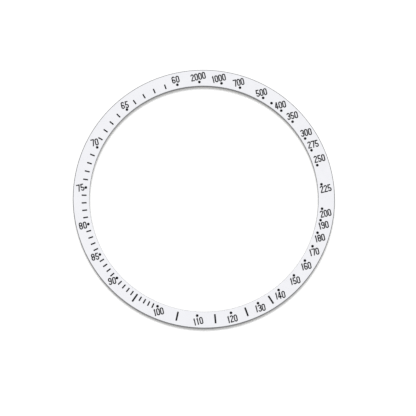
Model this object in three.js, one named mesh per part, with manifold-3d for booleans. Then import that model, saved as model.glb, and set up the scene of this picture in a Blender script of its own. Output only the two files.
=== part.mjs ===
// Watch bezel insert: a flat lacquered ring with a speed scale, in millimetres.
// +Z points out of the face, +Y passes through the 60 mark, and the back rests on Z = 0.
import * as THREE from 'three';
import { mergeVertices } from 'three/addons/utils/BufferGeometryUtils.js';
import Module from 'manifold-3d';

const wasm = await Module();
wasm.setup();

// Ring
const outerDiameter = 38.1;
const bandWidth = 2.4;
const ringThickness = 0.9;
const outerChamfer = 0.12;
const innerEdgeBreak = 0.03;
const backEdgeBreak = 0.04;

// Adhesive and its liner, both narrower than the ring so that neither shows from the front
const adhesiveThickness = 0.1;
const adhesiveInset = 0.25;
const linerThickness = 0.08;
const linerOverhang = 0.12;
const linerSlitWidth = 0.4;
const linerSlitAngle = 180;

// Marks: pockets in the face, each filled with lacquer that stands a hair proud
const pocketDepth = 0.12;
const fillClearance = 0.012;
const fillProud = 0.015;
const dotDiameter = 0.4;
const tickWidth = 0.2;
const tickLength = 0.72;
const barWidth = 0.25;

// How far a cutter runs past the face that it cuts through
const cutOverrun = 0.2;

// Places across the band, as shares of its width counted from the inner wall
const dotRowShare = 0.246;
const tickMiddleShare = 0.324;
const barEndShare = 0.7325;

// Speed scale: one turn of the seconds hand is 60 s, so a speed V stands at 21600 / V degrees
const turnTimesUnits = 21600;
const dotSpeeds = steps(60, 90, 5).concat(
  steps(100, 200, 10),
  steps(225, 300, 25),
  steps(350, 500, 50),
  steps(700, 1000, 300),
  steps(2000, 2000, 1),
);
const barSpeeds = steps(95, 135, 10);
const tickSpeeds = steps(61, 99, 1).filter((speed) => speed % 5 !== 0);

// Facets
const ringFacets = 144;
const backFacets = 96;
const dotFacets = 12;

const outerRadius = outerDiameter / 2;
const innerRadius = outerRadius - bandWidth;
const adhesiveBottom = linerThickness;
const ringBottom = adhesiveBottom + adhesiveThickness;
const faceHeight = ringBottom + ringThickness;
const pocketFloor = faceHeight - pocketDepth;

const lacqueredMetal = new THREE.MeshStandardMaterial({ color: 0xf1f1f4, roughness: 0.45, metalness: 0.1 });
const blackLacquer = new THREE.MeshStandardMaterial({ color: 0x141416, roughness: 0.4, metalness: 0 });
const adhesiveFilm = new THREE.MeshStandardMaterial({ color: 0xd9d8cf, roughness: 0.5, metalness: 0 });
const linerPaper = new THREE.MeshStandardMaterial({ color: 0xe8ddb5, roughness: 0.7, metalness: 0 });

function steps(first, last, step) {
  const count = Math.round((last - first) / step) + 1;
  return Array.from({ length: count }, (unused, index) => first + index * step);
}

// Clockwise from the 60 mark, in radians
function scaleAngle(speed) {
  return THREE.MathUtils.degToRad(turnTimesUnits / speed);
}

function toSolid(geometry) {
  const bare = geometry.clone();
  bare.deleteAttribute('normal');
  bare.deleteAttribute('uv');
  const merged = mergeVertices(bare);
  return new wasm.Manifold(new wasm.Mesh({
    numProp: 3,
    vertProperties: new Float32Array(merged.attributes.position.array),
    triVerts: new Uint32Array(merged.index.array),
  }));
}

function toGeometry(solid) {
  const mesh = solid.getMesh();
  const geometry = new THREE.BufferGeometry();
  geometry.setAttribute('position', new THREE.BufferAttribute(mesh.vertProperties, mesh.numProp));
  geometry.setIndex(new THREE.BufferAttribute(mesh.triVerts, 1));
  geometry.computeVertexNormals();
  return geometry;
}

function addPiece(group, name, geometry, material) {
  const piece = new THREE.Mesh(geometry, material);
  piece.name = name;
  group.add(piece);
  return piece;
}

// A mark is a small solid that stands on its pocket floor, at the scale angle of its speed
function dotShape(diameter, height) {
  const shape = new THREE.CylinderGeometry(diameter / 2, diameter / 2, height, dotFacets);
  shape.rotateX(Math.PI / 2);
  shape.translate(0, 0, height / 2);
  return shape;
}

function strokeShape(width, length, height) {
  const shape = new THREE.BoxGeometry(width, length, height);
  shape.translate(0, 0, height / 2);
  return shape;
}

function placeOnScale(shape, speed, radius) {
  shape.translate(0, radius, pocketFloor);
  shape.rotateZ(-scaleAngle(speed));
  return shape;
}

const dotRadius = innerRadius + dotRowShare * bandWidth;
const tickRadius = innerRadius + tickMiddleShare * bandWidth;
const strokeStart = tickRadius - tickLength / 2;
const barLength = innerRadius + barEndShare * bandWidth - strokeStart;
const barRadius = strokeStart + barLength / 2;

// Every mark takes the same three sizes in two fits: the pocket, and the fill that seats in it
function dotMark(speed, clearance, height) {
  return placeOnScale(dotShape(dotDiameter - 2 * clearance, height), speed, dotRadius);
}

function barMark(speed, clearance, height) {
  const shape = strokeShape(barWidth - 2 * clearance, barLength - 2 * clearance, height);
  return placeOnScale(shape, speed, barRadius);
}

function tickMark(speed, clearance, height) {
  const shape = strokeShape(tickWidth - 2 * clearance, tickLength - 2 * clearance, height);
  return placeOnScale(shape, speed, tickRadius);
}

// The turned ring: flat face and back, a chamfer outside, broken edges elsewhere
function ringBlank() {
  const profile = [
    new THREE.Vector2(innerRadius, ringBottom + backEdgeBreak),
    new THREE.Vector2(innerRadius + backEdgeBreak, ringBottom),
    new THREE.Vector2(outerRadius - backEdgeBreak, ringBottom),
    new THREE.Vector2(outerRadius, ringBottom + backEdgeBreak),
    new THREE.Vector2(outerRadius, faceHeight - outerChamfer),
    new THREE.Vector2(outerRadius - outerChamfer, faceHeight),
    new THREE.Vector2(innerRadius + innerEdgeBreak, faceHeight),
    new THREE.Vector2(innerRadius, faceHeight - innerEdgeBreak),
    new THREE.Vector2(innerRadius, ringBottom + backEdgeBreak),
  ];
  const blank = new THREE.LatheGeometry(profile, ringFacets);
  blank.rotateX(Math.PI / 2);
  return blank;
}

function insertRing() {
  const pocketHeight = pocketDepth + cutOverrun;
  const cutters = [
    ...dotSpeeds.map((speed) => dotMark(speed, 0, pocketHeight)),
    ...barSpeeds.map((speed) => barMark(speed, 0, pocketHeight)),
    ...tickSpeeds.map((speed) => tickMark(speed, 0, pocketHeight)),
  ];
  const engraved = cutters.reduce((ring, cutter) => ring.subtract(toSolid(cutter)), toSolid(ringBlank()));
  return toGeometry(engraved);
}

// A flat washer of film, whole or with a slit across it
function filmRing(inner, outer, bottom, thickness) {
  const profile = [
    new THREE.Vector2(inner, bottom),
    new THREE.Vector2(outer, bottom),
    new THREE.Vector2(outer, bottom + thickness),
    new THREE.Vector2(inner, bottom + thickness),
    new THREE.Vector2(inner, bottom),
  ];
  const ring = new THREE.LatheGeometry(profile, backFacets);
  ring.rotateX(Math.PI / 2);
  return ring;
}

function slitRing(inner, outer, bottom, thickness, slitWidth, slitDegrees) {
  const slit = new THREE.BoxGeometry(
    slitWidth,
    outer - inner + 2 * cutOverrun,
    thickness + 2 * cutOverrun,
  );
  slit.translate(0, (inner + outer) / 2, bottom + thickness / 2);
  slit.rotateZ(-THREE.MathUtils.degToRad(slitDegrees));
  return toGeometry(toSolid(filmRing(inner, outer, bottom, thickness)).subtract(toSolid(slit)));
}

const adhesiveInner = innerRadius + adhesiveInset;
const adhesiveOuter = outerRadius - adhesiveInset;

const insert = new THREE.Group();

addPiece(insert, 'insert_ring', insertRing(), lacqueredMetal);

const fillHeight = pocketDepth + fillProud;
for (const speed of dotSpeeds) {
  addPiece(insert, `scale_dot_${speed}`, dotMark(speed, fillClearance, fillHeight), blackLacquer);
}
for (const speed of barSpeeds) {
  addPiece(insert, `scale_bar_${speed}`, barMark(speed, fillClearance, fillHeight), blackLacquer);
}

addPiece(
  insert,
  'adhesive_ring',
  filmRing(adhesiveInner, adhesiveOuter, adhesiveBottom, adhesiveThickness),
  adhesiveFilm,
);
addPiece(
  insert,
  'release_liner',
  slitRing(
    adhesiveInner - linerOverhang,
    adhesiveOuter + linerOverhang,
    0,
    linerThickness,
    linerSlitWidth,
    linerSlitAngle,
  ),
  linerPaper,
);

export default insert;
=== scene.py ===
# %% [markdown]
# # A watch bezel insert
# A bezel insert is a flat metal ring that is glued into the bezel of a chronograph. Its face is lacquered
# white and carries a speed scale: shallow pockets are cut into the face and filled with black lacquer.
# The frame holds the ring, the adhesive on its back and the larger fills at their real size. This lesson
# gives them their finish, adds the short strokes and the numerals, and sets up the picture.

import math

import bpy
from mathutils import Matrix, Vector


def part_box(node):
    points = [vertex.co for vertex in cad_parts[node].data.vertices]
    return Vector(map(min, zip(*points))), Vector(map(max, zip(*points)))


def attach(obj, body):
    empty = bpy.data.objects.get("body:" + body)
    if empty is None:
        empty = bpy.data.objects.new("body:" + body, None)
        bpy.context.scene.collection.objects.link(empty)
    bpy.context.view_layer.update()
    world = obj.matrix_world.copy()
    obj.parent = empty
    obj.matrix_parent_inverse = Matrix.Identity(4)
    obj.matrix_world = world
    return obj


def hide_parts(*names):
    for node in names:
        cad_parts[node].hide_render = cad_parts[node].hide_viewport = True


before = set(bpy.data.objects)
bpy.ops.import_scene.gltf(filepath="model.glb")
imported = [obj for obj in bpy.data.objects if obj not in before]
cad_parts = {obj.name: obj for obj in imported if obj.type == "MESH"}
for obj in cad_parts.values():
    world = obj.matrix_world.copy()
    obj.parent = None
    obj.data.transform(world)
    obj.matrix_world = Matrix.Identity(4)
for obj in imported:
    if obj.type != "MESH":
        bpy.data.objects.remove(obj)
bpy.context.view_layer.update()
scene = bpy.context.scene
print("CAD nodes:", len(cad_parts))

# %% [markdown]
# ## Sizes
# Nothing here is measured twice. The sizes of the ring and the dots and the length of the bars are read
# from the frame, so the finished surfaces sit exactly on the solids. The frame is in metres. The parts of
# a watch are so small that the modelling below is done in millimetres, and each finished mesh is scaled
# to metres once.

# %% Read the sizes from the frame
MM = 0.001


def reach_from_axis(node):
    """Shortest and longest distance of a node's corners from the ring's axis, in millimetres."""
    corners = [vertex.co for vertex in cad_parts[node].data.vertices]
    reaches = [math.hypot(corner.x, corner.y) / MM for corner in corners]
    return min(reaches), max(reaches)


def span_in_mm(node):
    """Lowest and highest corner of a node, in millimetres."""
    low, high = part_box(node)
    return low / MM, high / MM


inner_radius, outer_radius = reach_from_axis("insert_ring")
ring_low, ring_high = span_in_mm("insert_ring")
dot_low, dot_high = span_in_mm("scale_dot_120")
bar_start, bar_end = reach_from_axis("scale_bar_115")

band_width = outer_radius - inner_radius
ring_thickness = ring_high.z - ring_low.z
face_height = ring_high.z
pocket_depth = face_height - dot_low.z
fill_proud = dot_high.z - face_height
dot_row_radius = -(dot_low.y + dot_high.y) / 2
print(f"ring {2 * inner_radius:.2f} to {2 * outer_radius:.2f} mm wide, {ring_thickness:.2f} mm thick")

# %% [markdown]
# ## Sizes that the frame doesn't hold
# The short strokes and the numerals are not solids in the frame, so their sizes are given here, and so is
# the width of the bars, which stand askew to the frame's axes. The lacquer fills of the frame have a hair
# of play in their pockets. The finished ones fill them.

# %% Sizes of the small marks
FILL_PLAY = 0.012
BAR_WIDTH = 0.25
TICK_WIDTH = 0.2
TICK_LENGTH = 0.72
STROKE_CORNER = 0.03
NUMERAL_HEIGHT = 1.05
DIGIT_WIDTH = 0.52
PEN = 0.165
CUT_OVERRUN = 0.2

dot_diameter = dot_high.x - dot_low.x + 2 * FILL_PLAY
bar_start -= FILL_PLAY
bar_end += FILL_PLAY
bar_length = bar_end - bar_start
print(f"dots {dot_diameter:.2f} mm wide, in a row of radius {dot_row_radius:.2f} mm")
print(f"bars {bar_length:.2f} mm long")

# %% [markdown]
# ## A helper for node trees
# Geometry and materials are both made with node trees here. One helper adds a node, sets its options and
# fills its sockets: a plain value is typed in, and a socket of another node is linked.


# %% Add and link nodes
def node(tree, kind, inputs=(), **options):
    """Adds one node. Each input is a plain value, or the output of another node."""
    made = tree.nodes.new(kind)
    for name, value in options.items():
        setattr(made, name, value)
    for name, value in dict(inputs).items():
        if isinstance(value, bpy.types.NodeSocket):
            tree.links.new(value, made.inputs[name])
        else:
            made.inputs[name].default_value = value
    return made


def number(tree, operation, *values):
    """The output of one Math node."""
    return node(tree, "ShaderNodeMath", dict(enumerate(values)), operation=operation).outputs[0]


# %% [markdown]
# ## Materials
# The face is satin white lacquer: nearly flat, with a very fine orange-peel texture and a trace of
# unevenness in its gloss. The walls and the back of the ring are bare turned aluminium, with fine lines
# that run round the part, but their metal tone is set far darker than bare aluminium, so that it paints
# shade onto the walls. The fills are black lacquer that hardly mirrors anything, so that they stay
# black from every side. The back carries a pale adhesive film and a yellowish release paper. Painted
# images could show all this, but noise needs no file and stays sharp close up. Every texture reads Object
# coordinates, which are metres here, so the scales are given in lines or grains per metre.

# %% The parts of a material
MICROMETRE = 0.000001
NOISE_LOW = 0.3
NOISE_HIGH = 0.7


def new_material(name, **settings):
    """A material with one Principled shader, whose even values are set on its own sockets."""
    material = bpy.data.materials.new(name)
    material.use_nodes = True
    tree = material.node_tree
    shader = tree.nodes["Principled BSDF"]
    for label, value in settings.items():
        shader.inputs[label.replace("_", " ")].default_value = value
    print("made", name)
    return material, tree, shader


def grain(tree, grains_per_metre, detail=2.0, vector=None):
    """Noise on Object coordinates, or on a vector made from them."""
    if vector is None:
        vector = node(tree, "ShaderNodeTexCoord").outputs["Object"]
    inputs = {"Vector": vector, "Scale": grains_per_metre, "Detail": detail}
    return node(tree, "ShaderNodeTexNoise", inputs).outputs[0]


def spread(tree, value, low, high):
    """Spreads the middle of a noise, where most of it lies, over the range from low to high."""
    inputs = {"Value": value, "From Min": NOISE_LOW, "From Max": NOISE_HIGH, "To Min": low, "To Max": high}
    return node(tree, "ShaderNodeMapRange", inputs).outputs[0]


def shade(tree, value, dark, light):
    """Mixes two colours by a value from 0 to 1."""
    mixer = node(tree, "ShaderNodeMix", {"Factor": value}, data_type="RGBA")
    sockets = {socket.identifier: socket for socket in [*mixer.inputs, *mixer.outputs]}
    sockets["A_Color"].default_value = (*dark, 1)
    sockets["B_Color"].default_value = (*light, 1)
    return sockets["Result_Color"]


def add_bump(tree, shader, height, distance, strength):
    """Lets a height tilt the surface as the shader sees it."""
    inputs = {"Height": height, "Distance": distance, "Strength": strength}
    bump = node(tree, "ShaderNodeBump", inputs)
    tree.links.new(bump.outputs[0], shader.inputs["Normal"])


# %% [markdown]
# Lacquer, film and paper are alike in one thing: their colour, their gloss and their relief each vary a
# little, and not in step. So one recipe with three noises makes them all, and only the numbers differ.


# %% The recipe for an uneven surface
def mottled_material(name, dark, light, patches, roughness, gloss_patches, bumps, height, strength,
                     patch_detail=2.0, bump_detail=2.0, **settings):
    """A material whose colour, roughness and bumps follow three separate noises."""
    material, tree, shader = new_material(name, **settings)
    tone = spread(tree, grain(tree, patches, patch_detail), 0.0, 1.0)
    tree.links.new(shade(tree, tone, dark, light), shader.inputs["Base Color"])
    tree.links.new(spread(tree, grain(tree, gloss_patches), *roughness), shader.inputs["Roughness"])
    add_bump(tree, shader, grain(tree, bumps, bump_detail), height, strength)
    return material


# %% White face lacquer
white_lacquer = mottled_material(
    "white_lacquer",
    dark=(0.875, 0.878, 0.915),
    light=(0.895, 0.898, 0.93),
    patches=700.0,
    roughness=(0.34, 0.46),
    gloss_patches=2500.0,
    bumps=9000.0,
    height=4 * MICROMETRE,
    strength=0.35,
    IOR=1.5,
)

# %% Black lacquer of the marks
black_lacquer = mottled_material(
    "black_lacquer",
    dark=(0.004, 0.004, 0.005),
    light=(0.01, 0.01, 0.012),
    patches=4000.0,
    roughness=(0.3, 0.45),
    gloss_patches=6000.0,
    bumps=12000.0,
    height=4 * MICROMETRE,
    strength=0.4,
    IOR=1.5,
    Specular_IOR_Level=0.12,
)

# %% Adhesive film
adhesive_film = mottled_material(
    "adhesive_film",
    dark=(0.62, 0.61, 0.54),
    light=(0.74, 0.73, 0.66),
    patches=1800.0,
    patch_detail=4.0,
    roughness=(0.2, 0.4),
    gloss_patches=3000.0,
    bumps=5000.0,
    height=10 * MICROMETRE,
    strength=0.4,
    IOR=1.47,
)

# %% Release paper
release_paper = mottled_material(
    "release_paper",
    dark=(0.7, 0.6, 0.36),
    light=(0.82, 0.73, 0.48),
    patches=2600.0,
    patch_detail=5.0,
    roughness=(0.38, 0.55),
    gloss_patches=900.0,
    bumps=7000.0,
    bump_detail=4.0,
    height=6 * MICROMETRE,
    strength=0.5,
    IOR=1.45,
)

# %% [markdown]
# A lathe leaves lines that follow the turning. On the walls they differ in height, and on the back in
# distance from the axis, so the noise reads just those two numbers and is the same all the way round.

# %% Bare turned aluminium
# Both tones are far darker than bare aluminium: painted shade for the walls and the edge roundings.
METAL_DARK_WITH_PAINTED_SHADE = (0.11, 0.112, 0.118)
METAL_LIGHT_WITH_PAINTED_SHADE = (0.19, 0.193, 0.2)
METAL_ROUGHNESS = (0.3, 0.42)
METAL_GLOSS_PATCHES = 1500.0
LATHE_LINES = 30000.0
LATHE_LINE_DETAIL = 3.0
LATHE_LINE_HEIGHT = 3 * MICROMETRE
LATHE_LINE_STRENGTH = 0.5

metal_with_painted_shade, tree, shader = new_material("turned_aluminium_with_painted_shade", Metallic=1.0)
place = node(tree, "ShaderNodeTexCoord").outputs["Object"]
parts = node(tree, "ShaderNodeSeparateXYZ", {"Vector": place}).outputs
flat = node(tree, "ShaderNodeCombineXYZ", {"X": parts["X"], "Y": parts["Y"]}).outputs[0]
from_axis = node(tree, "ShaderNodeVectorMath", {0: flat}, operation="LENGTH").outputs["Value"]
lathe_place = node(tree, "ShaderNodeCombineXYZ", {"X": from_axis, "Y": parts["Z"]}).outputs[0]
lines = grain(tree, LATHE_LINES, LATHE_LINE_DETAIL, lathe_place)
tone = shade(tree, spread(tree, lines, 0.0, 1.0), METAL_DARK_WITH_PAINTED_SHADE, METAL_LIGHT_WITH_PAINTED_SHADE)
roughness = spread(tree, grain(tree, METAL_GLOSS_PATCHES), *METAL_ROUGHNESS)
tree.links.new(tone, shader.inputs["Base Color"])
tree.links.new(roughness, shader.inputs["Roughness"])
add_bump(tree, shader, lines, LATHE_LINE_HEIGHT, LATHE_LINE_STRENGTH)

# %% [markdown]
# ## Trees that make shapes
# What repeats on the part, or follows a rule, is made with Geometry Nodes. Every tree here has a named
# input for each of its sizes and one for its material. Every tree also ends alike: Realize Instances turns
# copies into real faces, and Set Material gives them their finish.


# %% Begin and end a tree
def geometry_tree(name, sizes):
    """A Geometry Nodes tree with a named input for each size, and a table of those inputs."""
    kinds = {"Geometry": "NodeSocketGeometry", "Material": "NodeSocketMaterial", "Count": "NodeSocketInt"}
    tree = bpy.data.node_groups.new(name, "GeometryNodeTree")
    for label in ["Geometry", "Material", *sizes]:
        kind = kinds.get(label, "NodeSocketFloat")
        tree.interface.new_socket(label, in_out="INPUT", socket_type=kind)
    tree.interface.new_socket("Geometry", in_out="OUTPUT", socket_type="NodeSocketGeometry")
    inputs = tree.nodes.new("NodeGroupInput").outputs
    return tree, {socket.name: socket for socket in inputs}


def end_tree(tree, geometry, material):
    """Real faces instead of copies, then the finish, then the output."""
    real = node(tree, "GeometryNodeRealizeInstances", {"Geometry": geometry}).outputs[0]
    inputs = {"Geometry": real, "Material": material}
    finished = node(tree, "GeometryNodeSetMaterial", inputs).outputs[0]
    node(tree, "NodeGroupOutput", {"Geometry": finished})
    print(f"tree {tree.name}: {len(tree.nodes)} nodes")


# %% [markdown]
# ## Running a tree
# A tree runs on a carrier object. Its inputs are set by their identifiers before Blender first evaluates
# it. The result is copied to a plain mesh, and the carrier with its modifier is thrown away, so that the
# finished piece holds nothing but its own faces and their material.


# %% Run a tree and keep the plain mesh
def run_tree(tree, seed_mesh, material, sizes):
    """The plain mesh that a tree makes of a seed mesh, in one material."""
    carrier = bpy.data.objects.new("carrier", seed_mesh)
    scene.collection.objects.link(carrier)
    modifier = carrier.modifiers.new("tree", "NODES")
    modifier.node_group = tree
    values = {"Material": material, **sizes}
    for item in tree.interface.items_tree:
        if item.in_out == "INPUT" and item.name in values:
            modifier[item.identifier] = values[item.name]
    graph = bpy.context.evaluated_depsgraph_get()
    mesh = bpy.data.meshes.new_from_object(carrier.evaluated_get(graph), depsgraph=graph)
    bpy.data.objects.remove(carrier)
    # A filled curve brings an empty first slot, which goes here
    mesh.materials.clear()
    mesh.materials.append(material)
    return mesh


# %% Join meshes and add a finished piece
def joined(name, placed_meshes):
    """One mesh of one material from (mesh, x, y) copies, each moved to its place in millimetres."""
    vertices, faces = [], []
    for mesh, x, y in placed_meshes:
        first = len(vertices)
        vertices += [(v.co.x + x, v.co.y + y, v.co.z) for v in mesh.vertices]
        faces += [[first + index for index in face.vertices] for face in mesh.polygons]
    whole = bpy.data.meshes.new(name)
    whole.from_pydata(vertices, [], faces)
    whole.materials.append(placed_meshes[0][0].materials[0])
    return whole


def add_piece(name, mesh):
    """Scales a millimetre mesh to metres and adds it as a piece that rides on the one body."""
    mesh.transform(Matrix.Diagonal((MM, MM, MM, 1)))
    piece = bpy.data.objects.new(name, mesh)
    scene.collection.objects.link(piece)
    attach(piece, "root")
    print(f"{name}: {len(mesh.vertices)} vertices, {len(mesh.polygons)} faces")
    return piece


# %% [markdown]
# ## Outlines with rounded corners
# The ring's section, the marks and the digits are all outlines of straight runs and round bends. A Bevel
# modifier could round them, but every corner would then need a weight. Here an outline is written as its
# corners only, each with a radius, and a function turns the corners into arcs. Radius 0 keeps a corner
# sharp.

# %% Round the corners of an outline
FINE_STEPS = 8
COARSE_STEPS = 3
WIDE_BEND = 0.08
SAME_POINT = 0.0001


def rounded(corners):
    """Points of a closed outline, from corners (x, y, radius)."""
    points = []
    for index, (x, y, radius) in enumerate(corners):
        corner = Vector((x, y))
        if radius == 0:
            points.append(corner)
            continue
        back = (Vector(corners[index - 1][:2]) - corner).normalized()
        ahead = (Vector(corners[(index + 1) % len(corners)][:2]) - corner).normalized()
        half_angle = back.angle(ahead) / 2
        reach = radius / math.tan(half_angle)
        centre = corner + (back + ahead).normalized() * radius / math.sin(half_angle)
        start = corner + back * reach - centre
        end = corner + ahead * reach - centre
        first = math.atan2(start.y, start.x)
        sweep = (math.atan2(end.y, end.x) - first + math.pi) % (2 * math.pi) - math.pi
        steps = FINE_STEPS if radius > WIDE_BEND else COARSE_STEPS
        for step in range(steps + 1):
            turn = first + sweep * step / steps
            points.append(centre + radius * Vector((math.cos(turn), math.sin(turn))))
    return [
        point for index, point in enumerate(points)
        if (point - points[index - 1]).length > SAME_POINT
    ]


# %% Make a mesh of outlines
def outline_mesh(loops):
    """A mesh of edges only, with one closed loop for each list of corners."""
    points, edges = [], []
    for corners in loops:
        loop = rounded(corners)
        first = len(points)
        points += [(point.x, point.y, 0) for point in loop]
        edges += [(first + index, first + (index + 1) % len(loop)) for index in range(len(loop))]
    mesh = bpy.data.meshes.new("outline")
    mesh.from_pydata(points, edges, [])
    return mesh


def box_loop(half_width, low, high, radius):
    """Corners of an upright box, centred on x = 0."""
    return [
        (-half_width, low, radius),
        (half_width, low, radius),
        (half_width, high, radius),
        (-half_width, high, radius),
    ]


# %% [markdown]
# ## The turned ring
# The real ring is turned on a lathe: a tool follows the section while the blank spins. Curve to Mesh does
# the same. The path is a circle at the height of the face, and the profile is the ring's section, drawn
# outwards from the inner wall and downwards from the face. The outer top edge has the widest rounding,
# which catches the light as a thin line round the real part. A cylinder with a hole would do for the
# walls, but the section holds all four roundings from the start.

# %% The tree that turns a section into a ring
ring_tree, size = geometry_tree("turned_ring", ["Inner radius", "Face height", "Count"])
circle = node(
    ring_tree,
    "GeometryNodeCurvePrimitiveCircle",
    {"Resolution": size["Count"], "Radius": size["Inner radius"]},
).outputs[0]
lift = node(ring_tree, "ShaderNodeCombineXYZ", {"Z": size["Face height"]}).outputs[0]
path = node(ring_tree, "GeometryNodeTransform", {"Geometry": circle, "Translation": lift}).outputs[0]
path = node(ring_tree, "GeometryNodeSetCurveNormal", {"Curve": path}, mode="Z_UP").outputs[0]
section = node(ring_tree, "GeometryNodeMeshToCurve", {"Mesh": size["Geometry"]}).outputs[0]
turned = node(ring_tree, "GeometryNodeCurveToMesh", {"Curve": path, "Profile Curve": section}).outputs[0]
end_tree(ring_tree, turned, size["Material"])

# %% Turn the ring blank
RING_FACETS = 720
OUTER_ROUNDING = 0.09
INNER_ROUNDING = 0.03
BACK_ROUNDING = 0.04

ring_section = [
    (0, 0, INNER_ROUNDING),
    (band_width, 0, OUTER_ROUNDING),
    (band_width, ring_thickness, BACK_ROUNDING),
    (0, ring_thickness, BACK_ROUNDING),
]
ring_mesh = run_tree(
    ring_tree,
    outline_mesh([ring_section]),
    metal_with_painted_shade,
    {"Inner radius": inner_radius, "Face height": face_height, "Count": RING_FACETS},
)
print(f"ring blank: {len(ring_mesh.polygons)} faces")

# %% [markdown]
# ## A fill of lacquer
# Every mark is a small flat-topped prism: its outline is filled, the filled face is drawn up by the depth
# of the mark, and a turned-over copy closes the bottom. The tree hangs the prism below Z = 0, so that the
# same tree makes the fill and, with a greater depth, the cutter for its pocket.

# %% The tree that makes a prism from an outline
prism_tree, size = geometry_tree("filled_outline", ["Depth"])
outline = node(prism_tree, "GeometryNodeMeshToCurve", {"Mesh": size["Geometry"]}).outputs[0]
sheet = node(prism_tree, "GeometryNodeFillCurve", {"Curve": outline}, mode="NGONS").outputs[0]
below = number(prism_tree, "MULTIPLY", size["Depth"], -1.0)
down = node(prism_tree, "ShaderNodeCombineXYZ", {"Z": below}).outputs[0]
floor_sheet = node(
    prism_tree,
    "GeometryNodeTransform",
    {"Geometry": sheet, "Translation": down},
).outputs[0]
drawn_up = node(
    prism_tree,
    "GeometryNodeExtrudeMesh",
    {"Mesh": floor_sheet, "Offset": (0, 0, 1), "Offset Scale": size["Depth"], "Individual": False},
).outputs[0]
bottom = node(prism_tree, "GeometryNodeFlipFaces", {"Mesh": floor_sheet}).outputs[0]
halves = node(prism_tree, "GeometryNodeJoinGeometry", {"Geometry": drawn_up})
prism_tree.links.new(bottom, halves.inputs["Geometry"])
closed = node(
    prism_tree,
    "GeometryNodeMergeByDistance",
    {"Geometry": halves.outputs[0], "Distance": SAME_POINT},
).outputs[0]
end_tree(prism_tree, closed, size["Material"])

# %% [markdown]
# ## The law of the speed scale
# The seconds hand turns once in 60 s. If a mile or a kilometre takes t seconds, the speed is 3600 / t and
# the hand stands at 6 t degrees, so the speed V is marked at 21600 / V degrees, clockwise from the top.
# That law is written into the tree: each point's index gives its speed, and the speed gives its angle. A
# table of angles would do as well, but the law needs only a first speed, a step and a count. An input
# named Skip every leaves out the speeds that carry a dot or a bar of their own.

# %% The tree that repeats a mark along the scale
HALF_A_UNIT = 0.5

scale_tree, size = geometry_tree(
    "speed_scale",
    ["First speed", "Speed step", "Count", "Skip every", "Units per turn", "Radius", "Top height", "Depth"],
)
index = node(scale_tree, "GeometryNodeInputIndex").outputs[0]
speed = number(scale_tree, "MULTIPLY_ADD", index, size["Speed step"], size["First speed"])
angle = number(scale_tree, "RADIANS", number(scale_tree, "DIVIDE", size["Units per turn"], speed))
across = number(scale_tree, "MULTIPLY", size["Radius"], number(scale_tree, "SINE", angle))
along = number(scale_tree, "MULTIPLY", size["Radius"], number(scale_tree, "COSINE", angle))
place = node(
    scale_tree,
    "ShaderNodeCombineXYZ",
    {"X": across, "Y": along, "Z": size["Top height"]},
).outputs[0]
clockwise = number(scale_tree, "MULTIPLY", angle, -1.0)
turn = node(scale_tree, "ShaderNodeCombineXYZ", {"Z": clockwise}).outputs[0]
# Speeds are whole numbers, so a remainder over half a unit is one that isn't zero
remainder = number(scale_tree, "MODULO", speed, size["Skip every"])
kept = number(scale_tree, "GREATER_THAN", remainder, HALF_A_UNIT)
points = node(scale_tree, "GeometryNodePoints", {"Count": size["Count"], "Position": place}).outputs[0]
mark = node(scale_tree, "GeometryNodeGroup", node_tree=prism_tree)
for name in ("Geometry", "Material", "Depth"):
    scale_tree.links.new(size[name], mark.inputs[name])
copies = node(
    scale_tree,
    "GeometryNodeInstanceOnPoints",
    {"Points": points, "Selection": kept, "Instance": mark.outputs[0], "Rotation": turn},
).outputs[0]
end_tree(scale_tree, copies, size["Material"])

# %% [markdown]
# ## Which speeds are marked, and how
# Dots stand at the numbered speeds, and one without a number at 450. Between them, short strokes count
# single units from 60 to 100, and long bars halve the tens from 90 to 140. Each run below is a first
# speed, a step and a count.

# %% The runs of the scale
UNITS_PER_TURN = 21600.0
NO_SKIP = 1000000.0
DOT_STEP = 5.0
DOT_RUNS = [(60, 5, 7), (100, 10, 11), (225, 25, 4), (350, 50, 4), (700, 300, 2), (2000, 1, 1)]
BAR_RUNS = [(95, 10, 5)]
TICK_RUNS = [(61, 1, 39)]


def speeds_of(runs):
    """The speeds in some runs of the scale."""
    return [first + step * index for first, step, count in runs for index in range(count)]


def scale_marks(outline, runs, skip_every, radius, top, depth):
    """All marks of one kind as one mesh, in millimetres."""
    placed = []
    for first, step, count in runs:
        sizes = {
            "First speed": float(first),
            "Speed step": float(step),
            "Count": count,
            "Skip every": skip_every,
            "Units per turn": UNITS_PER_TURN,
            "Radius": radius,
            "Top height": top,
            "Depth": depth,
        }
        placed.append((run_tree(scale_tree, outline_mesh([outline]), black_lacquer, sizes), 0, 0))
    return joined("marks", placed)


print("speeds with a dot:", speeds_of(DOT_RUNS))

# %% The three kinds of marks
tick_radius = bar_start + TICK_LENGTH / 2
bar_radius = (bar_start + bar_end) / 2
dot_half = dot_diameter / 2
dot_outline = box_loop(dot_half, -dot_half, dot_half, dot_half)
bar_outline = box_loop(BAR_WIDTH / 2, -bar_length / 2, bar_length / 2, STROKE_CORNER)
tick_outline = box_loop(TICK_WIDTH / 2, -TICK_LENGTH / 2, TICK_LENGTH / 2, STROKE_CORNER)
MARK_KINDS = {
    "scale_dots": (dot_outline, DOT_RUNS, NO_SKIP, dot_row_radius),
    "scale_bars": (bar_outline, BAR_RUNS, NO_SKIP, bar_radius),
    "short_strokes": (tick_outline, TICK_RUNS, DOT_STEP, tick_radius),
}
print("kinds of marks:", list(MARK_KINDS))

# %% [markdown]
# ## The digits
# The numerals are narrow digits of one pen width with round bends, all upright. A font would need a file,
# so each digit is drawn as outlines: the outer edge and its holes, in terms of half the digit's width,
# half its height and the pen. Filling overlapping loops leaves the inner ones open, so a hole is simply a
# loop inside a loop. Side and roof are the inner edges of the strokes. The waist, the shelf, the bow and
# the tip are heights at which strokes meet, turn or end.


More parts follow.
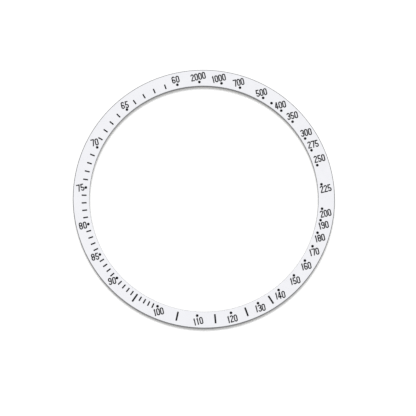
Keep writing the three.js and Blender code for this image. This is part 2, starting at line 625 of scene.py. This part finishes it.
# %% Draw the digits with bends
def bent_digits(right, top, pen):
    """Corner loops of 0, 2, 3, 5, 6, 8 and 9, drawn about the middle of the digit."""
    side = right - pen
    roof = top - pen
    half = pen / 2
    tip = 0.5 * top
    bow = 0.45 * top
    shelf = 0.16 * top
    waist = 0.04 * top
    notch = 0.3 * pen
    tongue = -0.3 * right
    cap = 0.8 * right
    lean = 0.15 * right
    tight = 0.9 * side
    zero = [box_loop(right, -top, top, right), box_loop(side, -roof, roof, side)]
    two = [[
        (-right, tip, 0), (-right, top, right), (right, top, right), (right, bow, side),
        (-side, -roof, 0), (right, -roof, 0), (right, -top, 0), (-right, -top, 0),
        (-right, -roof, 0), (tight, bow, side / 2), (side, roof, tight), (-side, roof, side),
        (-side, tip, 0),
    ]]
    three = [[
        (-right, tip, 0), (-right, top, right), (right, top, right), (right, waist + notch, side),
        (right - notch, waist, 0), (right, waist - notch, side), (right, -top, right),
        (-right, -top, right), (-right, -tip, 0), (-side, -tip, 0), (-side, -roof, side),
        (side, -roof, side), (side, waist - half, side), (tongue, waist - half, 0),
        (tongue, waist + half, 0), (side, waist + half, side), (side, roof, side),
        (-side, roof, side), (-side, tip, 0),
    ]]
    five = [[
        (cap, top, 0), (lean - right, top, 0), (-right, shelf - pen, 0), (side, shelf - pen, side),
        (side, -roof, side), (-side, -roof, side), (-side, -tip, 0), (-right, -tip, 0),
        (-right, -top, right), (right, -top, right), (right, shelf, right), (-side, shelf, 0),
        (lean - side, roof, 0), (cap, roof, 0),
    ]]
    six = [
        [
            (right, tip, 0), (right, top, right), (-right, top, right), (-right, -top, right),
            (right, -top, right), (right, shelf, right), (-side, shelf, 0), (-side, roof, side),
            (side, roof, side), (side, tip, 0),
        ],
        box_loop(side, -roof, shelf - pen, side),
    ]
    eight = [
        [
            (-right, -top, right), (right, -top, right), (right, waist - notch, side),
            (right - notch, waist, 0), (right, waist + notch, side), (right, top, right),
            (-right, top, right), (-right, waist + notch, side), (notch - right, waist, 0),
            (-right, waist - notch, side),
        ],
        box_loop(side, -roof, waist - half, side),
        box_loop(side, waist + half, roof, side),
    ]
    nine = [[(-x, -y, radius) for x, y, radius in loop] for loop in six]
    return {0: zero, 2: two, 3: three, 5: five, 6: six, 8: eight, 9: nine}


# %% Draw the straight digits
def straight_digits(right, top, pen):
    """Corner loops of 1, 4 and 7, drawn about the middle of the digit."""
    side = right - pen
    roof = top - pen
    half = pen / 2

    stem = 0.3 * right
    flag = -0.5 * right
    flag_top = top - 1.1 * pen
    flag_root = top - 1.5 * pen
    flag_end = top - 1.9 * pen
    shoulder = stem - 0.8 * pen
    one = [[
        (stem, top, 0), (stem, -top, 0), (stem - pen, -top, 0), (stem - pen, flag_root, 0),
        (flag, flag_end, 0), (flag, flag_top, 0), (shoulder, top, 0),
    ]]

    post = 0.55 * right
    peak = post - 1.15 * pen
    bar = -0.42 * top
    hole_top = 0.45 * top
    hole_left = 0.05 * pen - side
    four = [
        [
            (post, top, 0), (peak, top, 0), (-right, bar + half, 0), (-right, bar - half, 0),
            (post - pen, bar - half, 0), (post - pen, -top, 0), (post, -top, 0), (post, bar - half, 0),
            (right, bar - half, 0), (right, bar + half, 0), (post, bar + half, 0),
        ],
        [(post - pen, bar + half, 0), (post - pen, hole_top, 0), (hole_left, bar + half, 0)],
    ]

    foot = -0.05 * right
    knee = side - 0.05 * pen
    heel = roof + 0.1 * pen
    seven = [[
        (-right, top, 0), (-right, roof, 0), (knee, roof, 0), (foot - half, -top, 0),
        (foot + half, -top, 0), (right, heel, 0), (right, top, 0),
    ]]
    return {1: one, 4: four, 7: seven}


digit_sizes = (DIGIT_WIDTH / 2, NUMERAL_HEIGHT / 2, PEN)
DIGITS = {**bent_digits(*digit_sizes), **straight_digits(*digit_sizes)}
print("digits drawn:", sorted(DIGITS))

# %% [markdown]
# ## Where each numeral stands
# A numeral stands beside its dot, on the side where the band has room: above or below it, or to its left.
# No one rule gives these places on the real ring, so they are a table: steps from the dot, as shares of
# the numeral's height. Two digits are spaced wider than three or four. The slender 1 takes
# less room, though each of twin 1s takes a little more than a single one, and the 7 is tucked in a bit.

# %% Places of the numerals
NUMERAL_PLACE_SHARES = {
    60: (-0.084, 0.771), 65: (-0.152, 0.695), 70: (-0.181, 0.762), 75: (-0.729, 0.143),
    80: (-0.771, -0.038), 85: (-0.705, -0.162), 90: (-0.743, -0.257), 100: (-0.008, -0.764),
    110: (-0.037, -0.788), 120: (0.017, -0.839), 130: (0.175, -0.726), 140: (0.067, -0.752),
    150: (0.014, -0.747), 160: (0.018, -0.786), 170: (0.06, -0.817), 180: (0.162, -0.79),
    190: (0.257, -0.771), 200: (0.333, -0.733), 225: (0.438, -0.714), 250: (0.515, 0.857),
    275: (0.41, 0.79), 300: (0.324, 0.8), 350: (0.162, 0.848), 400: (0.057, 0.81), 500: (-0.067, 0.8),
    700: (0.0, 0.781), 1000: (-0.19, 0.781), 2000: (0.0, 0.781),
}
print("numerals:", list(NUMERAL_PLACE_SHARES))

# %% Set the digits
WIDE_PITCH = 0.6
DIGIT_PITCH = 0.56
SLENDER_PITCH = 0.37
TWIN_PITCH = 0.45
SEVEN_TUCK = 0.04


def digit_places(text):
    """The digits of a numeral with their places along its middle line."""
    pitch = WIDE_PITCH if len(text) == 2 else DIGIT_PITCH
    slender = TWIN_PITCH if "11" in text else SLENDER_PITCH
    rooms = [slender if digit == "1" else pitch - SEVEN_TUCK * (digit == "7") for digit in text]
    starts = [sum(rooms[:index]) for index in range(len(rooms))]
    middle = sum(rooms) / 2
    return [(int(digit), start + room / 2 - middle) for digit, start, room in zip(text, starts, rooms)]


def numerals(top, depth):
    """All numerals as one mesh, in millimetres."""
    prisms = {}
    for digit, loops in DIGITS.items():
        prisms[digit] = run_tree(prism_tree, outline_mesh(loops), black_lacquer, {"Depth": depth})
        prisms[digit].transform(Matrix.Translation((0, 0, top)))
    placed = []
    for speed, (right_share, up_share) in NUMERAL_PLACE_SHARES.items():
        angle = math.radians(UNITS_PER_TURN / speed)
        x = dot_row_radius * math.sin(angle) + right_share * NUMERAL_HEIGHT
        y = dot_row_radius * math.cos(angle) + up_share * NUMERAL_HEIGHT
        placed += [(prisms[digit], x + step, y) for digit, step in digit_places(str(speed))]
    return joined("numerals", placed)


# %% [markdown]
# ## Fill the scale
# Each kind of mark becomes one piece, and all of them stand as proud of the face as the fills in the
# frame. The cutters are the same shapes, only longer, so that every pocket fits its fill.

# %% Make the fills and the cutters
fill_top = face_height + fill_proud
fill_depth = pocket_depth + fill_proud
cutter_top = face_height + CUT_OVERRUN
cutter_depth = pocket_depth + CUT_OVERRUN

cutter_meshes = [numerals(cutter_top, cutter_depth)]
for name, (outline, runs, skip_every, radius) in MARK_KINDS.items():
    fill = scale_marks(outline, runs, skip_every, radius, fill_top, fill_depth)
    add_piece(name, fill)
    cutter_meshes.append(scale_marks(outline, runs, skip_every, radius, cutter_top, cutter_depth))
add_piece("scale_numerals", numerals(fill_top, fill_depth))

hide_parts(*[f"scale_dot_{speed}" for speed in speeds_of(DOT_RUNS)])
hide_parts(*[f"scale_bar_{speed}" for speed in speeds_of(BAR_RUNS)])

# %% [markdown]
# ## Cut the pockets into the ring
# The pockets could be faked with a bump, but then the mesh itself would be flat. Here one Boolean takes
# them all out of the blank at once, and passes the black lacquer of the cutters on to the pockets' walls
# and floors.


# %% Engrave the blank
def engraved(blank_mesh, cutter_mesh):
    """The blank less the cutter, as a plain mesh."""
    blank = bpy.data.objects.new("blank", blank_mesh)
    cutter = bpy.data.objects.new("cutter", cutter_mesh)
    scene.collection.objects.link(blank)
    scene.collection.objects.link(cutter)
    cut = blank.modifiers.new("pockets", "BOOLEAN")
    cut.operation = "DIFFERENCE"
    cut.solver = "MANIFOLD"
    cut.material_mode = "TRANSFER"
    cut.object = cutter
    graph = bpy.context.evaluated_depsgraph_get()
    mesh = bpy.data.meshes.new_from_object(blank.evaluated_get(graph), depsgraph=graph)
    bpy.data.objects.remove(blank)
    bpy.data.objects.remove(cutter)
    return mesh


all_cutters = joined("cutters", [(mesh, 0, 0) for mesh in cutter_meshes])
ring_mesh = engraved(ring_mesh, all_cutters)
print("pocket faces:", sum(face.material_index > 0 for face in ring_mesh.polygons))

# %% [markdown]
# ## Lacquer the face
# The faces that lie in the plane of the face become white. Both edges are turned after the lacquering, so
# their roundings stay bare like the walls, in the same darkened metal tone that paints shade onto them.
# Edges are sharp where the surface really turns, and the 720 facets round the ring are shaded as one
# smooth wall.

# %% Give the face its white lacquer
FACE_TOLERANCE = 0.001
SMOOTH_ANGLE = math.radians(5)

white_from = inner_radius + INNER_ROUNDING
white_to = outer_radius - OUTER_ROUNDING
white_slot = len(ring_mesh.materials)
ring_mesh.materials.append(white_lacquer)
for face in ring_mesh.polygons:
    reach = math.hypot(face.center.x, face.center.y)
    if white_from < reach < white_to and face.center.z > face_height - FACE_TOLERANCE:
        face.material_index = white_slot
ring_mesh.shade_smooth()
ring_mesh.set_sharp_from_angle(angle=SMOOTH_ANGLE)
print("materials of the ring:", [material.name for material in ring_mesh.materials])
ring = add_piece("engraved_ring", ring_mesh)
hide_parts("insert_ring")

# %% [markdown]
# ## The back
# The adhesive ring and its release paper are thin flat films. Their solids already have the right shape,
# so they stay and only get their finish.

# %% Finish the back
for name, material in {"adhesive_ring": adhesive_film, "release_liner": release_paper}.items():
    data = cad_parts[name].data
    data.materials.clear()
    data.materials.append(material)
    print(name, "finished with", material.name)

# %% [markdown]
# ## The picture
# The camera stands about 44 cm from the ring and 9.6 degrees off its axis, towards the lower edge of the
# picture, and the ring lies turned a little anticlockwise. A long lens from so far off keeps the
# perspective faint. The camera looks at a point just beside the ring's middle, which sets the ring a
# little high and left in the frame.

# %% Camera
CAMERA_DISTANCE = 0.44
CAMERA_TILT = math.radians(9.59)
CAMERA_BEARING = math.radians(202.9)
PICTURE_UP = math.radians(13.08)
PICTURE_WIDTH = 416
PIXELS_PER_MM = 6.879
PIXELS_RIGHT = 3.97
PIXELS_DOWN = 9.88
NEAR_LIMIT = 0.01
FAR_LIMIT = 10.0


def heading(bearing):
    """A direction in the plane of the ring, clockwise from the 60 mark."""
    return Vector((math.sin(bearing), math.cos(bearing), 0))


def off_axis(bearing, tilt):
    """A direction tilted from the ring's axis towards a bearing."""
    return heading(bearing) * math.sin(tilt) + Vector((0, 0, math.cos(tilt)))


look_right = PIXELS_RIGHT / PIXELS_PER_MM * MM
look_down = PIXELS_DOWN / PIXELS_PER_MM * MM
field_width = PICTURE_WIDTH / PIXELS_PER_MM * MM
back = off_axis(CAMERA_BEARING, CAMERA_TILT)
right = heading(PICTURE_UP).cross(back).normalized()
up = back.cross(right)
target = Vector((0, 0, face_height * MM)) + right * look_right - up * look_down
turned = Matrix((right, up, back)).transposed().to_4x4()

camera_data = bpy.data.cameras.new("camera")
camera_data.lens = camera_data.sensor_width * CAMERA_DISTANCE / field_width
camera_data.clip_start = NEAR_LIMIT
camera_data.clip_end = FAR_LIMIT
camera = bpy.data.objects.new("camera", camera_data)
camera.matrix_world = Matrix.Translation(target + back * CAMERA_DISTANCE) @ turned
scene.collection.objects.link(camera)
scene.camera = camera
print(f"camera lens {camera_data.lens:.0f} mm")

# %% [markdown]
# ## Floor and background
# The part lies on white paper that fades into a white background. The floor is a plain diffuse white, and
# a small glow lifts it to pure white where no shadow falls, for the camera and in reflections alone. A
# brighter lamp would do that too, but it would bleach the part. The floor lies a hair below the part. Seen
# from below it is clear, and light passes through it, so that the back of the part can be looked at too.

# %% Floor
FLOOR_HALF_WIDTH = 0.6
FLOOR_LEVEL = -0.02 * MM

half = FLOOR_HALF_WIDTH
corners = [(-half, -half), (half, -half), (half, half), (-half, half)]
floor_mesh = bpy.data.meshes.new("floor")
floor_mesh.from_pydata([(x, y, FLOOR_LEVEL) for x, y in corners], [], [tuple(range(len(corners)))])
floor = bpy.data.objects.new("floor", floor_mesh)
scene.collection.objects.link(floor)
print(f"floor {2 * FLOOR_HALF_WIDTH:.1f} m wide, {-FLOOR_LEVEL / MM:.2f} mm below the part")

# %% Tell the rays apart
VIEW_RAYS = ("Is Camera Ray", "Is Glossy Ray", "Is Transmission Ray")
LIGHT_RAYS = ("Is Diffuse Ray", "Is Shadow Ray")


def any_ray(tree, kinds):
    """1 where the ray is of one of these kinds, else 0."""
    ray = node(tree, "ShaderNodeLightPath").outputs
    found = ray[kinds[0]]
    for kind in kinds[1:]:
        found = number(tree, "MAXIMUM", found, ray[kind])
    return found


# %% White paper
PAPER_WHITE = (0.9, 0.9, 0.9, 1)
PAPER_GLOW = 0.25

paper = bpy.data.materials.new("white_paper")
paper.use_nodes = True
tree = paper.node_tree
tree.nodes.clear()
shine = number(tree, "MULTIPLY", any_ray(tree, VIEW_RAYS), PAPER_GLOW)
glow = node(tree, "ShaderNodeEmission", {"Strength": shine}).outputs[0]
matte = node(tree, "ShaderNodeBsdfDiffuse", {"Color": PAPER_WHITE}).outputs[0]
top_side = node(tree, "ShaderNodeAddShader", {0: matte, 1: glow}).outputs[0]
clear = node(tree, "ShaderNodeBsdfTransparent").outputs[0]
from_below = node(tree, "ShaderNodeNewGeometry").outputs["Backfacing"]
passes = number(tree, "MAXIMUM", from_below, any_ray(tree, LIGHT_RAYS))
both = node(tree, "ShaderNodeMixShader", {0: passes, 1: top_side, 2: clear}).outputs[0]
node(tree, "ShaderNodeOutputMaterial", {"Surface": both})
floor_mesh.materials.append(paper)
print("made", paper.name)

# %% [markdown]
# ## Light
# The world gives even light from all sides, and is pure white wherever it is seen, straight or in a
# reflection. One broad lamp, high above the ring and a little towards the upper edge of the picture, gives
# the soft shadow along the ring's lower edge. A second lamp straight below lights nothing but the back.
# Both lamps are left out of reflections, because their glare would turn the black marks grey.

# %% World
WORLD_STRENGTH = 0.4
WHITE = (1, 1, 1, 1)

world = bpy.data.worlds.new("studio")
scene.world = world
world.use_nodes = True
tree = world.node_tree
tree.nodes.clear()
seen = any_ray(tree, VIEW_RAYS)
strength = number(tree, "MULTIPLY_ADD", seen, 1.0 - WORLD_STRENGTH, WORLD_STRENGTH)
sky = node(tree, "ShaderNodeBackground", {"Color": WHITE, "Strength": strength}).outputs[0]
node(tree, "ShaderNodeOutputWorld", {"Surface": sky})
print("made the world", world.name)

# %% Lamps
LAMP_STRENGTH = 1.95
BACK_LAMP_STRENGTH = 2.0
LAMP_SOFTNESS = math.radians(17)
LAMP_TILT = math.radians(14)
LAMP_BEARING = math.radians(1)


def add_lamp(name, strength, toward):
    """A broad sun lamp that shines from the direction toward it."""
    data = bpy.data.lights.new(name, "SUN")
    data.energy = strength
    data.angle = LAMP_SOFTNESS
    lamp = bpy.data.objects.new(name, data)
    lamp.rotation_mode = "QUATERNION"
    lamp.rotation_quaternion = toward.to_track_quat("Z", "Y")
    lamp.visible_glossy = False
    scene.collection.objects.link(lamp)


add_lamp("key_lamp", LAMP_STRENGTH, off_axis(LAMP_BEARING, LAMP_TILT))
add_lamp("back_lamp", BACK_LAMP_STRENGTH, Vector((0, 0, -1)))
scene.view_settings.view_transform = "Standard"
